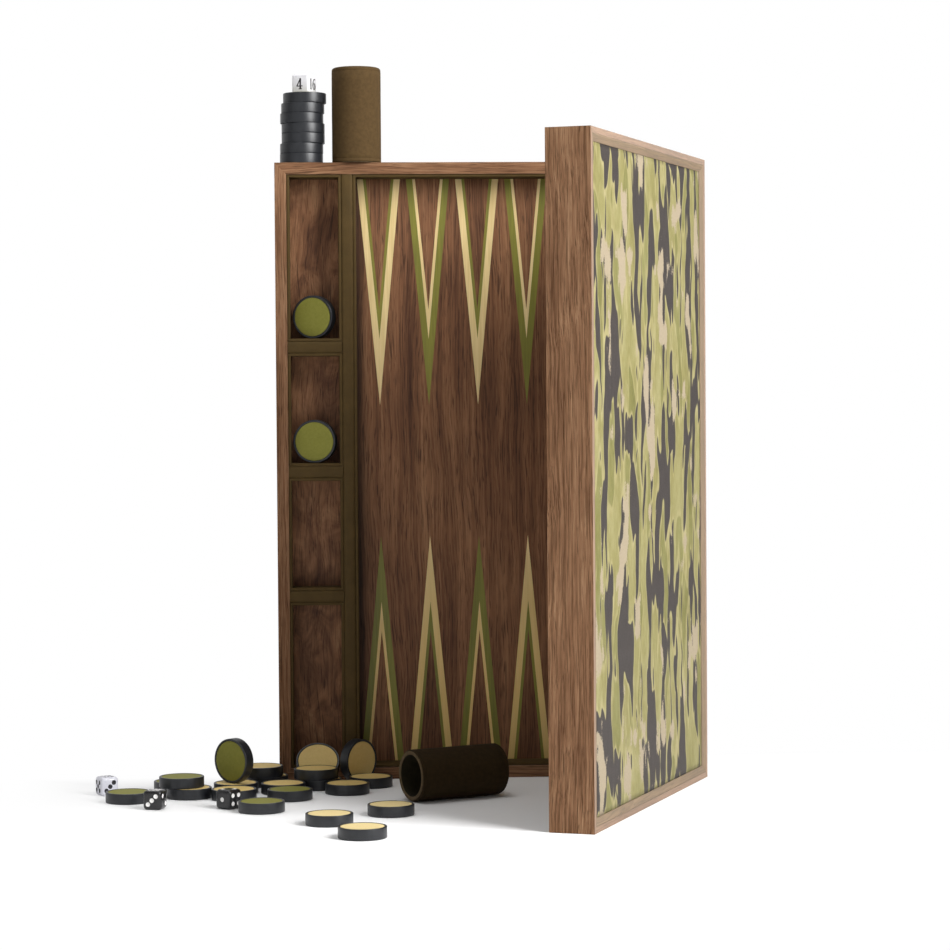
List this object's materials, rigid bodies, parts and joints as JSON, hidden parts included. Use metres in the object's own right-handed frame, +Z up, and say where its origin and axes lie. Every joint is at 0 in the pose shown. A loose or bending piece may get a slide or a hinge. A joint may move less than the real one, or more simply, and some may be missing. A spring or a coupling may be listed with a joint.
{
  "type": "folding backgammon set",
  "caption": "Hinged walnut game case standing part open, with lined trays, inlaid points, checkers, dice, doubling cube and dice cups.",
  "frame": {"origin": "centre of the tray half's lower end face, where the case stands on the floor", "axes": "+Z up along the long side of the case, +X from the free edge of the tray half to the hinge, +Y from the open rim to the outside cover of the tray half"},
  "size_m": [0.5196, 0.3758, 0.612],
  "materials": {
    "walnut": "satin lacquer",
    "walnut_field": "satin lacquer",
    "inlay_cream": "satin",
    "inlay_green": "satin",
    "olive_leather": "matt",
    "printed_cover": "matt printed",
    "walnut_trim": "satin lacquer",
    "brass": "satin",
    "checker_body_green_set": "satin black with green leather faces",
    "checker_body_cream_set": "satin black with cream leather faces",
    "cup_leather": "suede",
    "white_resin": "polished",
    "black_resin": "polished"
  },
  "bodies": {
    "tray_half": {"base_walls": "walnut", "base_field_panel": "walnut_field", "base_inlays_cream": "inlay_cream", "base_inlays_green": "inlay_green", "base_dividers": "olive_leather", "base_liners": "olive_leather", "base_cover_panel": "printed_cover", "base_cover_trim": "walnut_trim", "base_hinge_screws": "brass", "base_hinge_leaves": "brass"},
    "hinge_pins": {"hinge_pins": "brass"},
    "lid_half": {"lid_walls": "walnut", "lid_field_panel": "walnut_field", "lid_inlays_cream": "inlay_cream", "lid_inlays_green": "inlay_green", "lid_dividers": "olive_leather", "lid_liners": "olive_leather", "lid_cover_panel": "printed_cover", "lid_cover_trim": "walnut_trim", "lid_hinge_screws": "brass", "lid_hinge_leaves": "brass"},
    "checker_green_01": {"checker_green_01": "checker_body_green_set"},
    "checker_green_02": {"checker_green_02": "checker_body_green_set"},
    "checker_green_03": {"checker_green_03": "checker_body_green_set"},
    "checker_green_04": {"checker_green_04": "checker_body_green_set"},
    "checker_green_05": {"checker_green_05": "checker_body_green_set"},
    "checker_green_06": {"checker_green_06": "checker_body_green_set"},
    "checker_cream_01": {"checker_cream_01": "checker_body_cream_set"},
    "checker_cream_02": {"checker_cream_02": "checker_body_cream_set"},
    "checker_cream_03": {"checker_cream_03": "checker_body_cream_set"},
    "checker_cream_04": {"checker_cream_04": "checker_body_cream_set"},
    "checker_cream_05": {"checker_cream_05": "checker_body_cream_set"},
    "checker_cream_06": {"checker_cream_06": "checker_body_cream_set"},
    "checker_cream_07": {"checker_cream_07": "checker_body_cream_set"},
    "checker_cream_08": {"checker_cream_08": "checker_body_cream_set"},
    "checker_cream_09": {"checker_cream_09": "checker_body_cream_set"},
    "checker_cream_10": {"checker_cream_10": "checker_body_cream_set"},
    "checker_cream_11": {"checker_cream_11": "checker_body_cream_set"},
    "checker_cream_12": {"checker_cream_12": "checker_body_cream_set"},
    "checker_cream_13": {"checker_cream_13": "checker_body_cream_set"},
    "checker_cream_14": {"checker_cream_14": "checker_body_cream_set"},
    "checker_cream_15": {"checker_cream_15": "checker_body_cream_set"},
    "cup_lying": {"cup_lying": "cup_leather"},
    "white_die_1": {"white_die_1": "white_resin"},
    "black_die_1": {"black_die_1": "black_resin"},
    "black_die_2": {"black_die_2": "black_resin"},
    "checker_green_09": {"checker_green_09": "checker_body_green_set"},
    "checker_green_10": {"checker_green_10": "checker_body_green_set"},
    "checker_green_11": {"checker_green_11": "checker_body_green_set"},
    "checker_green_12": {"checker_green_12": "checker_body_green_set"},
    "checker_green_13": {"checker_green_13": "checker_body_green_set"},
    "checker_green_14": {"checker_green_14": "checker_body_green_set"},
    "checker_green_15": {"checker_green_15": "checker_body_green_set"},
    "doubling_cube": {"doubling_cube": "white_resin"},
    "cup_standing": {"cup_standing": "cup_leather"},
    "checker_green_07": {"checker_green_07": "checker_body_green_set"},
    "checker_green_08": {"checker_green_08": "checker_body_green_set"},
    "white_die_2": {"white_die_2": "white_resin"}
  },
  "joints": [
    {"name": "case_open", "type": "hinge", "parent": "tray_half", "child": "hinge_pins", "pos_m": [0.1675, -0.018, 0], "axis": [0, 0, 1], "range_deg": [0, 112.3]},
    {"name": "case_close", "type": "hinge", "parent": "hinge_pins", "child": "lid_half", "pos_m": [0.1675, -0.018, 0], "axis": [0, 0, 1], "range_deg": [-67.7, 0]},
    {"name": "checker_green_01_clear", "type": "slide", "parent": "tray_half", "child": "checker_green_01", "axis": [-1, 0, 0], "range_m": [0, 0.267]},
    {"name": "checker_green_02_clear", "type": "slide", "parent": "tray_half", "child": "checker_green_02", "axis": [-1, 0, 0], "range_m": [0, 0.267]},
    {"name": "checker_green_03_clear", "type": "slide", "parent": "tray_half", "child": "checker_green_03", "axis": [-1, 0, 0], "range_m": [0, 0.267]},
    {"name": "checker_green_04_clear", "type": "slide", "parent": "tray_half", "child": "checker_green_04", "axis": [-1, 0, 0], "range_m": [0, 0.267]},
    {"name": "checker_green_05_clear", "type": "slide", "parent": "tray_half", "child": "checker_green_05", "axis": [-1, 0, 0], "range_m": [0, 0.267]},
    {"name": "checker_green_06_clear", "type": "slide", "parent": "tray_half", "child": "checker_green_06", "axis": [-1, 0, 0], "range_m": [0, 0.267]},
    {"name": "checker_cream_01_clear", "type": "slide", "parent": "tray_half", "child": "checker_cream_01", "axis": [-1, 0, 0], "range_m": [0, 0.267]},
    {"name": "checker_cream_02_clear", "type": "slide", "parent": "tray_half", "child": "checker_cream_02", "axis": [-1, 0, 0], "range_m": [0, 0.267]},
    {"name": "checker_cream_03_clear", "type": "slide", "parent": "tray_half", "child": "checker_cream_03", "axis": [-1, 0, 0], "range_m": [0, 0.267]},
    {"name": "checker_cream_04_clear", "type": "slide", "parent": "tray_half", "child": "checker_cream_04", "axis": [-1, 0, 0], "range_m": [0, 0.267]},
    {"name": "checker_cream_05_clear", "type": "slide", "parent": "tray_half", "child": "checker_cream_05", "axis": [-1, 0, 0], "range_m": [0, 0.267]},
    {"name": "checker_cream_06_clear", "type": "slide", "parent": "tray_half", "child": "checker_cream_06", "axis": [-1, 0, 0], "range_m": [0, 0.267]},
    {"name": "checker_cream_07_clear", "type": "slide", "parent": "tray_half", "child": "checker_cream_07", "axis": [-1, 0, 0], "range_m": [0, 0.267]},
    {"name": "checker_cream_08_clear", "type": "slide", "parent": "tray_half", "child": "checker_cream_08", "axis": [-1, 0, 0], "range_m": [0, 0.267]},
    {"name": "checker_cream_09_clear", "type": "slide", "parent": "tray_half", "child": "checker_cream_09", "axis": [-1, 0, 0], "range_m": [0, 0.267]},
    {"name": "checker_cream_10_clear", "type": "slide", "parent": "tray_half", "child": "checker_cream_10", "axis": [-1, 0, 0], "range_m": [0, 0.267]},
    {"name": "checker_cream_11_clear", "type": "slide", "parent": "tray_half", "child": "checker_cream_11", "axis": [-1, 0, 0], "range_m": [0, 0.267]},
    {"name": "checker_cream_12_clear", "type": "slide", "parent": "tray_half", "child": "checker_cream_12", "axis": [-1, 0, 0], "range_m": [0, 0.267]},
    {"name": "checker_cream_13_clear", "type": "slide", "parent": "tray_half", "child": "checker_cream_13", "axis": [-1, 0, 0], "range_m": [0, 0.267]},
    {"name": "checker_cream_14_clear", "type": "slide", "parent": "tray_half", "child": "checker_cream_14", "axis": [-1, 0, 0], "range_m": [0, 0.267]},
    {"name": "checker_cream_15_clear", "type": "slide", "parent": "tray_half", "child": "checker_cream_15", "axis": [-1, 0, 0], "range_m": [0, 0.267]},
    {"name": "cup_lying_clear", "type": "slide", "parent": "tray_half", "child": "cup_lying", "axis": [-1, 0, 0], "range_m": [0, 0.267]},
    {"name": "white_die_1_clear", "type": "slide", "parent": "tray_half", "child": "white_die_1", "axis": [-1, 0, 0], "range_m": [0, 0.267]},
    {"name": "black_die_1_clear", "type": "slide", "parent": "tray_half", "child": "black_die_1", "axis": [-1, 0, 0], "range_m": [0, 0.267]},
    {"name": "black_die_2_clear", "type": "slide", "parent": "tray_half", "child": "black_die_2", "axis": [-1, 0, 0], "range_m": [0, 0.267]},
    {"name": "checker_green_09_lift", "type": "slide", "parent": "tray_half", "child": "checker_green_09", "axis": [0, 0, 1], "range_m": [0, 0.03]},
    {"name": "checker_green_10_lift", "type": "slide", "parent": "checker_green_09", "child": "checker_green_10", "axis": [0, 0, 1], "range_m": [0, 0.03]},
    {"name": "checker_green_11_lift", "type": "slide", "parent": "checker_green_10", "child": "checker_green_11", "axis": [0, 0, 1], "range_m": [0, 0.03]},
    {"name": "checker_green_12_lift", "type": "slide", "parent": "checker_green_11", "child": "checker_green_12", "axis": [0, 0, 1], "range_m": [0, 0.03]},
    {"name": "checker_green_13_lift", "type": "slide", "parent": "checker_green_12", "child": "checker_green_13", "axis": [0, 0, 1], "range_m": [0, 0.03]},
    {"name": "checker_green_14_lift", "type": "slide", "parent": "checker_green_13", "child": "checker_green_14", "axis": [0, 0, 1], "range_m": [0, 0.03]},
    {"name": "checker_green_15_lift", "type": "slide", "parent": "checker_green_14", "child": "checker_green_15", "axis": [0, 0, 1], "range_m": [0, 0.03]},
    {"name": "doubling_cube_lift", "type": "slide", "parent": "checker_green_15", "child": "doubling_cube", "axis": [0, 0, 1], "range_m": [0, 0.03]},
    {"name": "cup_standing_lift", "type": "slide", "parent": "tray_half", "child": "cup_standing", "axis": [0, 0, 1], "range_m": [0, 0.09]},
    {"name": "checker_green_07_lift_out", "type": "slide", "parent": "tray_half", "child": "checker_green_07", "axis": [0, -1, 0], "range_m": [0, 0.05]},
    {"name": "checker_green_08_lift_out", "type": "slide", "parent": "tray_half", "child": "checker_green_08", "axis": [0, -1, 0], "range_m": [0, 0.05]},
    {"name": "white_die_2_lift_out", "type": "slide", "parent": "lid_half", "child": "white_die_2", "axis": [-0.9252, 0.3795, 0], "range_m": [0, 0.035]}
  ],
  "couplings": [
    {"joint": "checker_green_01_clear", "follows": "case_close", "m_per_rad": -0.2243},
    {"joint": "checker_green_02_clear", "follows": "case_close", "m_per_rad": -0.2243},
    {"joint": "checker_green_03_clear", "follows": "case_close", "m_per_rad": -0.2243},
    {"joint": "checker_green_04_clear", "follows": "case_close", "m_per_rad": -0.2243},
    {"joint": "checker_green_05_clear", "follows": "case_close", "m_per_rad": -0.2243},
    {"joint": "checker_green_06_clear", "follows": "case_close", "m_per_rad": -0.2243},
    {"joint": "checker_cream_01_clear", "follows": "case_close", "m_per_rad": -0.2243},
    {"joint": "checker_cream_02_clear", "follows": "case_close", "m_per_rad": -0.2243},
    {"joint": "checker_cream_03_clear", "follows": "case_close", "m_per_rad": -0.2243},
    {"joint": "checker_cream_04_clear", "follows": "case_close", "m_per_rad": -0.2243},
    {"joint": "checker_cream_05_clear", "follows": "case_close", "m_per_rad": -0.2243},
    {"joint": "checker_cream_06_clear", "follows": "case_close", "m_per_rad": -0.2243},
    {"joint": "checker_cream_07_clear", "follows": "case_close", "m_per_rad": -0.2243},
    {"joint": "checker_cream_08_clear", "follows": "case_close", "m_per_rad": -0.2243},
    {"joint": "checker_cream_09_clear", "follows": "case_close", "m_per_rad": -0.2243},
    {"joint": "checker_cream_10_clear", "follows": "case_close", "m_per_rad": -0.2243},
    {"joint": "checker_cream_11_clear", "follows": "case_close", "m_per_rad": -0.2243},
    {"joint": "checker_cream_12_clear", "follows": "case_close", "m_per_rad": -0.2243},
    {"joint": "checker_cream_13_clear", "follows": "case_close", "m_per_rad": -0.2243},
    {"joint": "checker_cream_14_clear", "follows": "case_close", "m_per_rad": -0.2243},
    {"joint": "checker_cream_15_clear", "follows": "case_close", "m_per_rad": -0.2243},
    {"joint": "cup_lying_clear", "follows": "case_close", "m_per_rad": -0.2243},
    {"joint": "white_die_1_clear", "follows": "case_close", "m_per_rad": -0.2243},
    {"joint": "black_die_1_clear", "follows": "case_close", "m_per_rad": -0.2243},
    {"joint": "black_die_2_clear", "follows": "case_close", "m_per_rad": -0.2243}
  ]
}
